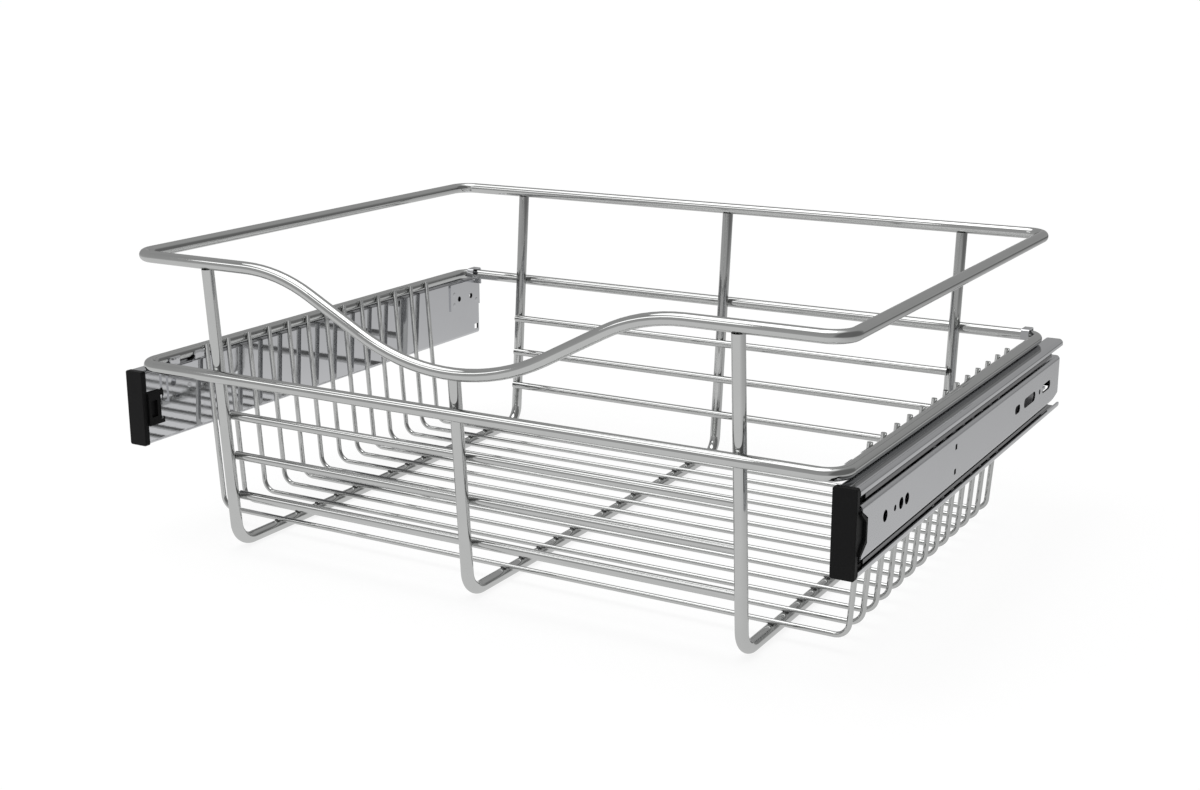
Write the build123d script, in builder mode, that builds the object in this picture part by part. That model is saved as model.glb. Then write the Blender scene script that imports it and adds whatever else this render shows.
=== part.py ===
"""Pull-out wire basket for a cabinet, carried on a pair of full-extension ball slides.

Millimetres. +X is to the right, +Y to the back of the cabinet and +Z up. The origin is under the
middle of the slides' length, on the cabinet's centre line, level with the underside of the basket.
The basket is shown pushed in. Each slide lies on its side: the wide member carries the basket, the
narrow member is screwed to the cabinet wall, and a middle member runs on balls between the two.
"""

import os
from math import atan, cos

from build123d import *

os.makedirs("parts", exist_ok=True)

# ---------------------------------------------------------------- driving dimensions
# Basket wire work. Plan sizes are taken between centre lines.
rim_width = 434.4
rim_inset = 18.0  # how much shorter the rim is than the slides, between its centre lines
rim_corner = 12.0
basket_height = 176.0
rod_d = 7.0  # rim, rail and ribs
bar_d = 5.0  # level bars across the front and the back
wire_d = 3.0  # cross wires
weld = 0.3  # how far two rods sink into each other where they are welded

# The scoop in the front of the rim is a wide V with rounded corners.
scoop_half_width = 112.0
scoop_vee_depth = 59.4
scoop_shoulder_r = 95.0
scoop_bottom_r = 122.0

rail_drop = 64.6  # from the rim down to the carrying rail
rail_corner = 11.0
rib_spacing = 163.5
rib_bend = 13.0
front_lean = 12.5  # how far the front posts come in between rim and floor
back_lean = 15.0

bar_count = 3
bar_top_z = 81.5
bar_pitch = 24.6
bar_inset = 0.5  # the bars end this far inside the outer ribs' centre lines

wire_count = 13
wire_pitch = 19.0
wire_shift = -4.3  # the row of cross wires sits a little in front of the basket's middle
wire_bend = 8.0
wire_floor_half = 205.4  # half the width between the cross wires' sides at floor level
wire_top_gap = 0.2  # the wire ends stop this far below the top of the rail

# Slides.
slide_length = 350.0
slide_height = 45.0
slide_depth = 12.5
slide_edge = 216.1  # from the centre line to the face that looks at the basket
gauge = 1.2  # sheet of the three members
basket_member_depth = 11.6
basket_member_lip = 3.9
basket_lip_bend = 2.0
basket_web_bend = 1.6
middle_lip_inset = 0.9  # middle member's edge, in from the face of the basket member's lip
middle_lip = 3.0
middle_web_gap = 1.1  # room for the ball retainer between the two webs
web_bend = 1.8
step_bend = 0.8
race_rise = 0.35  # how far a race stands past the middle of its balls

ball_d = 3.0
ball_fit = 0.05  # running clearance between a ball and its race
ball_pitch = 16.0
ball_end_margin = 8.0  # from the retainer's end to its first ball, at least
pocket_fit = 0.07
retainer_gauge = 0.5
retainer_gap = 0.35
retainer_web_gap = 0.3
retainer_edge_gap = 1.4  # clears the bend of the lip beside it
retainer_margin = 2.0  # keeps the retainer inside the middle member over the whole travel

wall_member_front_gap = 1.0  # behind the end cap, with the basket in
wall_member_short = 9.0  # the wall member stops this far before the slide's rear end
middle_member_short = 22.0

# Holes of the wall member: the front ones measured from the slide's front end, the rear pilot hole
# and the slots from its rear end.
screw_hole_d = 6.0
screw_hole_at = (31.3, 53.3, 61.5)
pilot_hole_d = 3.2
front_pilot_at, rear_pilot_at = 44.8, 52.1
short_slot_at, short_slot_length, short_slot_width = 98.9, 10.0, 5.0
long_slot_at, long_slot_length, long_slot_width = 73.6, 24.0, 6.0
rear_slot_at, rear_slot_length, rear_slot_width = 37.3, 18.0, 5.5
rear_tongue_length, rear_tongue_width = 7.0, 1.6
stop_window_at, stop_window_size, stop_window_spacing = 136.7, 3.0, 13.7
rear_notch_length, rear_notch_height = 16.0, 3.2
past_end = 1.0  # a cut that opens an end runs on this far past it

# Basket member: holes measured from the slide's rear end, the lug from its front end, and heights
# from its middle line.
rivet_hole_d = 4.0
rivet_hole_at = (27.1, 11.8)
rivet_hole_height = 8.2
sight_window_at, sight_window_drop = 3.8, 16.9
sight_window_length, sight_window_height = 4.6, 4.1
lug_at, lug_bottom, lug_top, lug_reach = 9.5, -8.2, 6.3, 2.5
lug_window_length = 4.4

# End cap.
cap_plate = 3.5
cap_inner, cap_outer = -1.2, 11.2  # how far across the slide the plate reaches
cap_corner = 1.3
cap_edge = 0.5
cap_fit = 0.1
plug_fit = 0.5  # clears the rounded corners inside the basket member
plug_length = 8.0
plug_gap = 0.5  # between the plugs and the middle member, with the basket in
plug_groove_start = 16.4  # the groove blocks of the cap begin this far from the middle line
bumper_base, bumper_tip = 21.6, 11.4  # widths of the wedge in the middle of the cap
bumper_length = 7.4
bumper_floor = 4.8
bumper_wall, bumper_recess = 1.2, 1.5  # the wedge is hollowed inside this wall, to this depth
snap_panel_gap = 0.3
snap_thickness = 2.4
snap_arm = 2.4
snap_hook = 1.0
snap_hook_length = 1.4
snap_recess = 1.6
snap_recess_start, snap_recess_end = 2.0, 6.8
snap_recess_bottom, snap_recess_top = -6.0, 4.0

# Bracket that holds the rail at the front of each slide, with two fingers.
bracket_gauge = 1.0
front_bracket_start, front_bracket_end = 13.0, 52.4
front_bracket_step = 39.9
front_bracket_bottom, front_bracket_shoulder, bracket_top = 2.0, 13.0, 20.0
finger_width = 8.0
finger_at = (22.4, 43.4)
finger_pad_width = 10.4  # raised pad on the plate, below the first finger
finger_pad_bottom = 0.4
finger_pad_gauge = 0.9
finger_gauge = 0.9
finger_gap = 0.15
finger_hole_d = 4.6
finger_hole_height = 11.6
finger_hole_shift = -1.0
finger_slot_length, finger_slot_height, finger_slot_bottom = 3.0, 1.6, 2.6
finger_slot_shift = 2.0
finger_root = 16.0  # the finger leaves the plate above this height
finger_shelf_drop = 1.9  # from the slide's top edge to the finger's outer end
finger_dip = 0.2
finger_bend = 0.8
finger_flare = 0.8
finger_drop = 1.0  # its straight part ends this far below the middle of the rail
finger_flare_rise = 1.8

# Bracket that hooks over the rail's back run at the rear of each slide.
rear_bracket_length = 38.0
rear_bracket_bottom = 0.4
hook_inner, hook_outer = 9.8, 4.8  # across the rail's end, in from the slide's face
hook_foot_bottom = 18.3
hook_gap = 0.1
hook_bend = 1.4
hook_reach = 6.7  # the hook's nose, in front of the rail's centre line
hook_slant = 1.0
hook_nose_drop = 2.0  # below the rail's centre line
hook_root = 19.0

# Release lever on the wall member, behind its web.
lever_thickness = 2.5
lever_pivot_at = 116.7
lever_pin_d = 3.0
lever_pin_fit = 0.05
lever_pin_head_d = 6.0
lever_pin_head = 0.8
lever_hub_r = 4.5
lever_arm_width = 9.0
lever_front_reach = 34.0
lever_stop_gap = 0.4  # from the lever's tip to the middle member's stop tab, at full travel
stop_tab_height = 6.0
stop_tab_end = 10.6
lever_tip_width = 5.0
lever_gap = 0.3

# ---------------------------------------------------------------- values worked out from them
rod_r = rod_d / 2
bar_r = bar_d / 2
wire_r = wire_d / 2
ball_r = ball_d / 2

rib_z = rod_r
rim_z = basket_height - rod_r
rail_z = rim_z - rail_drop
rail_x = rim_width / 2

slide_front = (cap_plate - slide_length) / 2
slide_rear = slide_front + slide_length
slide_travel = slide_length  # full extension
half_height = slide_height / 2
rail_seat = 0.1  # air between the rail and the slide's top edge
slide_z = rail_z - rod_r - rail_seat - half_height
rim_setback = 1.9  # front run of the rim, behind the slide's front end
rim_depth = slide_length - rim_inset
basket_y = slide_front + rim_setback + rim_depth / 2
front_y = basket_y - rim_depth / 2
back_y = basket_y + rim_depth / 2

scoop_rise = scoop_bottom_r * (1 / cos(atan(scoop_vee_depth / scoop_half_width)) - 1)
scoop_depth = scoop_vee_depth - scoop_rise


def lean_share(z):
    """How far down the posts the height z lies, from 0 at the rim to 1 at the floor."""
    return (rim_z - z) / (rim_z - rib_z)


def front_post_y(z):
    """Centre of the front posts at the height z."""
    return front_y + front_lean * lean_share(z)


def back_post_y(z):
    """Centre of the back posts at the height z."""
    return back_y - back_lean * lean_share(z)


rail_front_y = front_post_y(rail_z) - rod_d + weld
rail_back_y = back_post_y(rail_z) + rod_d - weld
wire_floor_z = rod_d + wire_r - weld
wire_rail_x = rail_x - rod_r - wire_r + weld
wire_top_z = rail_z + rod_r - wire_top_gap
wire_slope = (wire_rail_x - wire_floor_half) / (rail_z - wire_floor_z)
wire_top_x = wire_rail_x + wire_slope * (wire_top_z - rail_z)

# Races, seen along the slide: u runs from the basket to the wall, v up from the middle line.
outer_ball_u = basket_member_depth - gauge - ball_r - ball_fit
outer_ball_v = half_height - gauge - ball_r - ball_fit
middle_tread_v = outer_ball_v - ball_r - ball_fit - gauge / 2
middle_riser_u = outer_ball_u - ball_r - ball_fit - gauge / 2
middle_shelf_v = outer_ball_v + race_rise - gauge / 2
middle_lip_u = basket_member_depth - middle_lip_inset - gauge / 2
middle_lip_v = middle_tread_v + gauge / 2 - middle_lip
middle_web_u = gauge + middle_web_gap + gauge / 2

inner_ball_u = middle_lip_u - gauge / 2 - ball_r - ball_fit
inner_ball_v = middle_tread_v - gauge / 2 - ball_r - ball_fit
wall_tread_v = inner_ball_v - ball_r - ball_fit - gauge / 2
wall_riser_u = inner_ball_u - ball_r - ball_fit - gauge / 2
wall_riser_v = inner_ball_v + race_rise
wall_web_u = slide_depth - gauge / 2
wall_inner_u = slide_depth - gauge

wall_member_front = slide_front + wall_member_front_gap
wall_member_rear = slide_rear - wall_member_short
middle_member_front = slide_front + plug_length + plug_gap
middle_member_rear = slide_rear - middle_member_short
retainer_front = middle_member_front + slide_travel / 4 + retainer_margin
retainer_rear = middle_member_rear - slide_travel / 4 - retainer_margin
retainer_length = retainer_rear - retainer_front
ball_count = int((retainer_length - 2 * ball_end_margin) / ball_pitch) + 1
first_ball_y = (retainer_front + retainer_rear - (ball_count - 1) * ball_pitch) / 2
lever_tip_y = middle_member_rear - slide_travel / 2 - gauge - lever_stop_gap


# ---------------------------------------------------------------- wire work
def write(piece, name):
    """Labels a finished piece and writes its file."""
    piece.part.label = name
    export_step(piece.part, f"parts/{name}.step")


def bent_rod(points, radii, diameter, closed=False):
    """A round rod swept along straight runs with rounded corners."""
    with BuildPart() as rod:
        with BuildLine() as route:
            FilletPolyline(*points, radius=radii, close=closed)
        start = route.line @ 0
        with BuildSketch(Plane(origin=start, z_dir=route.line % 0)):
            Circle(diameter / 2)
        sweep()
    return rod


def straight_rod(start_x, end_x, y, z, diameter):
    """A round rod along X."""
    with BuildPart() as rod:
        with BuildSketch(Plane.YZ.offset(start_x)):
            with Locations((y, z)):
                Circle(diameter / 2)
        extrude(amount=end_x - start_x)
    return rod


# Top rim: one closed loop with the scoop in its front run.
rim_points = [
    (rail_x, back_y, rim_z),
    (-rail_x, back_y, rim_z),
    (-rail_x, front_y, rim_z),
    (-scoop_half_width, front_y, rim_z),
    (0, front_y, rim_z - scoop_vee_depth),
    (scoop_half_width, front_y, rim_z),
    (rail_x, front_y, rim_z),
]
rim_radii = [
    rim_corner,
    rim_corner,
    rim_corner,
    scoop_shoulder_r,
    scoop_bottom_r,
    scoop_shoulder_r,
    rim_corner,
]
top_rim = bent_rod(rim_points, rim_radii, rod_d, closed=True)
write(top_rim, "top_rim")

# Carrying rail: a level closed loop outside the posts, which rests on the slides.
rail_points = [
    (rail_x, rail_back_y, rail_z),
    (-rail_x, rail_back_y, rail_z),
    (-rail_x, rail_front_y, rail_z),
    (rail_x, rail_front_y, rail_z),
]
carry_rail = bent_rod(rail_points, [rail_corner] * 4, rod_d, closed=True)
write(carry_rail, "carry_rail")


def rib(x, front_top):
    """A rib: front post, floor run and back post in one bent rod."""
    points = [
        (x, front_post_y(front_top), front_top),
        (x, front_post_y(rib_z), rib_z),
        (x, back_post_y(rib_z), rib_z),
        (x, back_post_y(post_top), post_top),
    ]
    return bent_rod(points, [rib_bend, rib_bend], rod_d)


post_top = rim_z - rod_r + weld
rib_tops = {
    "rib_left": (-rib_spacing, post_top),
    "rib_middle": (0, post_top - scoop_depth),
    "rib_right": (rib_spacing, post_top),
}
for rib_name, (rib_x, rib_top) in rib_tops.items():
    write(rib(rib_x, rib_top), rib_name)

# Level bars, welded to the inner sides of the front and back posts.
bar_offset = rod_r + bar_r - weld
bar_end = rib_spacing - bar_inset
for bar in range(bar_count):
    bar_z = bar_top_z - bar * bar_pitch
    front_bar = straight_rod(-bar_end, bar_end, front_post_y(bar_z) + bar_offset, bar_z, bar_d)
    write(front_bar, f"front_bar_{bar + 1}")
    back_bar = straight_rod(-bar_end, bar_end, back_post_y(bar_z) - bar_offset, bar_z, bar_d)
    write(back_bar, f"back_bar_{bar + 1}")

# Cross wires: each runs down from the rail, over the ribs and up to the rail on the other side.
first_wire_y = basket_y + wire_shift - (wire_count - 1) * wire_pitch / 2
for wire in range(wire_count):
    wire_y = first_wire_y + wire * wire_pitch
    wire_points = [
        (-wire_top_x, wire_y, wire_top_z),
        (-wire_floor_half, wire_y, wire_floor_z),
        (wire_floor_half, wire_y, wire_floor_z),
        (wire_top_x, wire_y, wire_top_z),
    ]
    cross_wire = bent_rod(wire_points, [wire_bend, wire_bend], wire_d)
    write(cross_wire, f"cross_wire_{wire + 1:02d}")


# ---------------------------------------------------------------- slides
class Side:
    """Places the slide's own u and v in the frame, for the left or the right side."""

    def __init__(self, name, sign):
        self.name = name
        self.sign = sign

    def x(self, u):
        return self.sign * (slide_edge + u)

    def point(self, u, v):
        return (self.x(u), slide_z + v)


def across(rear):
    """Sketch plane square to the slide at the depth rear. It extrudes towards the front."""
    return Plane.XZ.offset(-rear)


def folded_strip(side, corners, radii, thickness, front, rear):
    """A strip of sheet folded along the slide, given by the middle line of its section."""
    with BuildPart() as strip:
        with BuildSketch(across(rear)):
            with BuildLine():
                FilletPolyline(*[side.point(u, v) for u, v in corners], radius=radii)
            trace(line_width=thickness)
        extrude(amount=rear - front)
    return strip


def mirrored(half_corners):
    """Completes a section from its lower half."""
    return half_corners + [(u, -v) for u, v in reversed(half_corners)]


def side_box(side, u_range, y_range, v_range, mode=Mode.ADD):
    """A block between two values each of u, y and v."""
    u_size = u_range[1] - u_range[0]
    y_size = y_range[1] - y_range[0]
    v_size = v_range[1] - v_range[0]
    middle_x = side.x(sum(u_range) / 2)
    with Locations((middle_x, sum(y_range) / 2, slide_z + sum(v_range) / 2)):
        Box(u_size, y_size, v_size, mode=mode)


def web_plane(side, u):
    """Plane square to X at u, with its own x along +Y and its own y along +Z."""
    return Plane(origin=(side.x(u), 0, slide_z), x_dir=(0, 1, 0), z_dir=(1, 0, 0))


def basket_member(side):
    """Wide member: its web faces the basket and its lips turn in round the outer balls."""
    lip_u = basket_member_depth - gauge / 2
    flange_v = half_height - gauge / 2
    corners = mirrored([(lip_u, basket_member_lip - half_height), (lip_u, -flange_v), (gauge / 2, -flange_v)])
    radii = [basket_lip_bend, basket_web_bend, basket_web_bend, basket_lip_bend]
    with BuildPart() as member:
        add(folded_strip(side, corners, radii, gauge, slide_front, slide_rear).part)
        with BuildSketch(web_plane(side, gauge / 2)):
            with Locations(*[(slide_rear - at, rivet_hole_height) for at in rivet_hole_at]):
                Circle(rivet_hole_d / 2)
            with Locations((slide_rear - sight_window_at, -sight_window_drop)):
                Rectangle(sight_window_length, sight_window_height)
        extrude(amount=gauge, both=True, mode=Mode.SUBTRACT)
        lug_front = slide_front + lug_at
        lug_v = (lug_bottom, lug_top)
        side_box(side, (0, gauge), (lug_front - lug_window_length, lug_front), lug_v, mode=Mode.SUBTRACT)
        side_box(side, (-lug_reach, gauge), (lug_front, lug_front + gauge), lug_v)
    return member


def middle_member(side):
    """Middle member: a stepped flange carries the outer balls outside and the inner ones inside."""
    half = [
        (middle_lip_u, -middle_lip_v),
        (middle_lip_u, -middle_tread_v),
        (middle_riser_u, -middle_tread_v),
        (middle_riser_u, -middle_shelf_v),
        (middle_web_u, -middle_shelf_v),
    ]
    radii = [step_bend] * 3 + [basket_web_bend] * 2 + [step_bend] * 3
    section = mirrored(half)
    with BuildPart() as member:
        add(folded_strip(side, section, radii, gauge, middle_member_front, middle_member_rear).part)
        tab_y = (middle_member_rear - gauge, middle_member_rear)
        side_box(side, (middle_web_u, stop_tab_end), tab_y, (-stop_tab_height / 2, stop_tab_height / 2))
    return member


def bumper_outline(grow):
    """Half outline of the cap's wedge, as points back from the slide's front end."""
    return [
        (0, bumper_base / 2 + grow),
        (bumper_length + grow, bumper_tip / 2 + grow),
    ]


def wedge(side, u, thickness, grow, mode):
    """The wedge of the cap, or with grow its cut-out in the wall member's web."""
    (start, base), (end, tip) = bumper_outline(grow)
    with BuildSketch(web_plane(side, u)) as outline:
        with BuildLine():
            Polyline(
                (slide_front + start, -base),
                (slide_front + end, -tip),
                (slide_front + end, tip),
                (slide_front + start, base),
                close=True,
            )
        make_face()
    extrude(outline.sketch, amount=side.sign * thickness, mode=mode)


def wall_member(side):
    """Narrow member, screwed to the cabinet wall through its web."""
    half = [
        (wall_riser_u, -wall_riser_v),
        (wall_riser_u, -wall_tread_v),
        (wall_web_u, -wall_tread_v),
    ]
    radii = [step_bend, web_bend, web_bend, step_bend]
    with BuildPart() as member:
        add(folded_strip(side, mirrored(half), radii, gauge, wall_member_front, wall_member_rear).part)
        with BuildSketch(web_plane(side, wall_web_u)):
            with Locations(*[(slide_front + at, 0) for at in screw_hole_at]):
                Circle(screw_hole_d / 2)
            with Locations((slide_front + front_pilot_at, 0), (slide_rear - rear_pilot_at, 0)):
                Circle(pilot_hole_d / 2)
            with Locations((slide_rear - short_slot_at, 0)):
                SlotOverall(short_slot_length, short_slot_width)
            with Locations((slide_rear - long_slot_at, 0)):
                SlotOverall(long_slot_length, long_slot_width)
            with Locations((slide_rear - rear_slot_at, 0)):
                SlotOverall(rear_slot_length, rear_slot_width)
            tongue_start = slide_rear - rear_slot_at - rear_slot_length / 2
            with Locations((tongue_start + rear_tongue_length / 2, 0)):
                Rectangle(rear_tongue_length, rear_tongue_width, mode=Mode.SUBTRACT)
            window_y = slide_front + stop_window_at
            with Locations((window_y, stop_window_spacing / 2), (window_y, -stop_window_spacing / 2)):
                Rectangle(stop_window_size, stop_window_size)
        extrude(amount=gauge, both=True, mode=Mode.SUBTRACT)
        wedge(side, wall_web_u - gauge, 2 * gauge, cap_fit + wall_member_front_gap / 2, Mode.SUBTRACT)
        outer_v = wall_tread_v + gauge / 2
        with BuildSketch(web_plane(side, wall_web_u)):
            with BuildLine():
                Polyline(
                    (wall_member_rear + past_end, -outer_v - gauge),
                    (wall_member_rear - rear_notch_length, -outer_v - gauge),
                    (wall_member_rear - rear_notch_length, -outer_v),
                    (wall_member_rear + past_end, -outer_v + rear_notch_height + gauge),
                    close=True,
                )
            make_face()
        extrude(amount=slide_depth, both=True, mode=Mode.SUBTRACT)
    return member


def retainer(side, web_u, shelf_v, edge_u, ball_u, ball_v):
    """A folded strip between two members, with an open pocket for each ball."""
    half = [(edge_u, -shelf_v), (web_u, -shelf_v)]
    rise = shelf_v - retainer_gauge / 2 - ball_v
    pocket_r = (ball_r**2 - rise**2) ** 0.5 + pocket_fit
    with BuildPart() as strip:
        add(folded_strip(side, mirrored(half), [step_bend] * 2, retainer_gauge, retainer_front, retainer_rear).part)
        with BuildSketch(Plane.XY.offset(slide_z)):
            with Locations(*[(side.x(ball_u), first_ball_y + n * ball_pitch) for n in range(ball_count)]):
                Circle(pocket_r)
        extrude(amount=slide_height, both=True, mode=Mode.SUBTRACT)
    return strip


def balls(side, ball_u, ball_v):
    """The two rows of balls of one retainer."""
    places = []
    for n in range(ball_count):
        for v in (-ball_v, ball_v):
            places.append((side.x(ball_u), first_ball_y + n * ball_pitch, slide_z + v))
    with BuildPart() as rows:
        with Locations(*places):
            Sphere(ball_r)
    return rows


def end_cap(side):
    """Plastic end cap, plugged into the basket member and snapped over its lug."""
    back = slide_front
    with BuildPart() as cap:
        side_box(side, (cap_inner, cap_outer), (back - cap_plate, back), (-half_height, half_height))
        fillet(cap.edges().filter_by(Axis.Y), cap_corner)
        fillet(cap.faces().sort_by(Axis.Y)[0].edges(), cap_edge)
        plug_u = (gauge + plug_fit, basket_member_depth - gauge - plug_fit)
        plug_top = half_height - gauge - plug_fit
        for v_range in ((plug_groove_start, plug_top), (-plug_top, -plug_groove_start)):
            side_box(side, plug_u, (back, back + plug_length), v_range)
        wedge(side, bumper_floor, slide_depth - bumper_floor, 0, Mode.ADD)
        wedge(side, slide_depth - bumper_recess, bumper_recess + past_end, -bumper_wall, Mode.SUBTRACT)
        panel = (lug_bottom - snap_arm - cap_fit, lug_top + snap_arm + cap_fit)
        side_box(side, (-snap_thickness, 0), (back, back + lug_at - snap_panel_gap), panel)
        recess_y = (back + snap_recess_start, back + snap_recess_end)
        recess_v = (snap_recess_bottom, snap_recess_top)
        side_box(side, (-snap_thickness, snap_recess - snap_thickness), recess_y, recess_v, mode=Mode.SUBTRACT)
        hook_back = back + lug_at + gauge + cap_fit + snap_hook_length
        for arm in (
            (lug_top + cap_fit, lug_top + cap_fit + snap_arm),
            (lug_bottom - cap_fit - snap_arm, lug_bottom - cap_fit),
        ):
            side_box(side, (-snap_thickness, 0), (back, hook_back), arm)
        for hook in (
            (lug_top - snap_hook, lug_top + cap_fit + snap_arm),
            (lug_bottom - cap_fit - snap_arm, lug_bottom + snap_hook),
        ):
            side_box(side, (-snap_thickness, 0), (hook_back - snap_hook_length, hook_back), hook)
    return cap


def finger(side, at):
    """One finger of the front bracket: under the rail and up its inner side."""
    rail_u = rail_x - slide_edge
    rail_v = rail_z - slide_z
    stand_off = rod_r + finger_gap + finger_gauge / 2
    inner_u = rail_u - stand_off
    root_u = -bracket_gauge / 2
    corners = [
        (root_u, finger_root),
        (root_u, half_height - finger_shelf_drop),
        (inner_u, half_height - finger_dip),
        (inner_u, rail_v - finger_drop),
        (inner_u - finger_flare, rail_v - finger_drop + finger_flare_rise),
    ]
    front = slide_front + at - finger_width / 2
    return folded_strip(side, corners, [finger_bend] * 3, finger_gauge, front, front + finger_width)


def front_bracket(side):
    """Sheet bracket on the front of the basket member, with two fingers that hold the rail."""
    start = slide_front + front_bracket_start
    step = slide_front + front_bracket_step
    end = slide_front + front_bracket_end
    with BuildPart() as bracket:
        side_box(side, (-bracket_gauge, 0), (start, step), (front_bracket_bottom, bracket_top))
        side_box(side, (-bracket_gauge, 0), (start, end), (front_bracket_shoulder, bracket_top))
        pad_middle = slide_front + finger_at[0]
        pad_y = (pad_middle - finger_pad_width / 2, pad_middle + finger_pad_width / 2)
        side_box(side, (-bracket_gauge - finger_pad_gauge, 0), pad_y, (finger_pad_bottom, finger_root))
        for at in finger_at:
            add(finger(side, at).part)
        with BuildSketch(web_plane(side, -bracket_gauge)):
            with Locations((pad_middle + finger_hole_shift, finger_hole_height)):
                Circle(finger_hole_d / 2)
            with Locations((pad_middle + finger_slot_shift, finger_slot_bottom)):
                Rectangle(finger_slot_length, finger_slot_height)
        extrude(amount=bracket_gauge, both=True, mode=Mode.SUBTRACT)
    return bracket


def rear_bracket(side):
    """Sheet bracket on the rear of the basket member, hooked over the rail's back run."""
    start = slide_rear - rear_bracket_length
    leg_y = rail_back_y + rod_r + hook_gap + bracket_gauge / 2
    top_z = rail_z + rod_r + hook_gap + bracket_gauge / 2
    nose_y = rail_back_y - hook_reach
    with BuildPart() as bracket:
        side_box(side, (-bracket_gauge, 0), (start, slide_rear), (rear_bracket_bottom, bracket_top))
        leg = (leg_y - bracket_gauge / 2, leg_y + bracket_gauge / 2)
        side_box(side, (-hook_inner, 0), leg, (hook_foot_bottom, bracket_top))
        with BuildSketch(Plane.YZ.offset(side.x(-hook_outer))):
            with BuildLine():
                FilletPolyline(
                    (leg_y, slide_z + hook_root),
                    (leg_y, top_z),
                    (nose_y + hook_slant, top_z),
                    (nose_y, rail_z - hook_nose_drop),
                    radius=[hook_bend, hook_bend],
                )
            trace(line_width=bracket_gauge)
        extrude(amount=-side.sign * (hook_inner - hook_outer))
        with BuildSketch(web_plane(side, -bracket_gauge)):
            with Locations(*[(slide_rear - at, rivet_hole_height) for at in rivet_hole_at]):
                Circle(rivet_hole_d / 2)
        extrude(amount=bracket_gauge, both=True, mode=Mode.SUBTRACT)
    return bracket


def lever_pin(side):
    """Headed pin on the inside of the wall member's web, which the release lever turns on."""
    pin_y = slide_front + lever_pivot_at
    shank = lever_gap + lever_thickness + lever_gap
    with BuildPart() as pin:
        with BuildSketch(web_plane(side, wall_inner_u)):
            with Locations((pin_y, 0)):
                Circle(lever_pin_d / 2)
        extrude(amount=-side.sign * shank)
        with BuildSketch(web_plane(side, wall_inner_u - shank)):
            with Locations((pin_y, 0)):
                Circle(lever_pin_head_d / 2)
        extrude(amount=-side.sign * lever_pin_head)
    return pin


def release_lever(side):
    """Plastic lever on the wall member. Its rear tip stops the middle member at full travel."""
    pin_y = slide_front + lever_pivot_at
    with BuildPart() as lever:
        with BuildSketch(web_plane(side, wall_inner_u - lever_gap)):
            with BuildLine():
                Polyline(
                    (pin_y - lever_front_reach, -lever_tip_width / 2),
                    (pin_y, -lever_arm_width / 2),
                    (lever_tip_y, -lever_tip_width / 2),
                    (lever_tip_y, lever_tip_width / 2),
                    (pin_y, lever_arm_width / 2),
                    (pin_y - lever_front_reach, lever_tip_width / 2),
                    close=True,
                )
            make_face()
            with Locations((pin_y, 0)):
                Circle(lever_hub_r)
                Circle(lever_pin_d / 2 + lever_pin_fit, mode=Mode.SUBTRACT)
        extrude(amount=-side.sign * lever_thickness)
    return lever


for slide in (Side("left", -1), Side("right", 1)):
    write(basket_member(slide), f"basket_member_{slide.name}")
    write(middle_member(slide), f"middle_member_{slide.name}")
    write(wall_member(slide), f"wall_member_{slide.name}")
    outer_retainer = retainer(
        slide,
        gauge + retainer_web_gap + retainer_gauge / 2,
        half_height - gauge - retainer_gap - retainer_gauge / 2,
        basket_member_depth - gauge - retainer_edge_gap,
        outer_ball_u,
        outer_ball_v,
    )
    write(outer_retainer, f"outer_retainer_{slide.name}")
    inner_retainer = retainer(
        slide,
        middle_web_u + gauge / 2 + retainer_gap + retainer_gauge / 2,
        middle_tread_v - gauge / 2 - retainer_gap - retainer_gauge / 2,
        middle_lip_u - gauge / 2 - retainer_gap,
        inner_ball_u,
        inner_ball_v,
    )
    write(inner_retainer, f"inner_retainer_{slide.name}")
    write(balls(slide, outer_ball_u, outer_ball_v), f"outer_balls_{slide.name}")
    write(balls(slide, inner_ball_u, inner_ball_v), f"inner_balls_{slide.name}")
    write(end_cap(slide), f"end_cap_{slide.name}")
    write(front_bracket(slide), f"front_bracket_{slide.name}")
    write(rear_bracket(slide), f"rear_bracket_{slide.name}")
    write(lever_pin(slide), f"lever_pin_{slide.name}")
    write(release_lever(slide), f"release_lever_{slide.name}")
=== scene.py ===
"""Finishes, weld beads, spot welds and studio for a pull-out wire basket on ball slides."""
from math import pi, radians

import bmesh
import bpy
from bpy.props import FloatProperty, FloatVectorProperty, PointerProperty
from mathutils import Matrix, Vector


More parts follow.
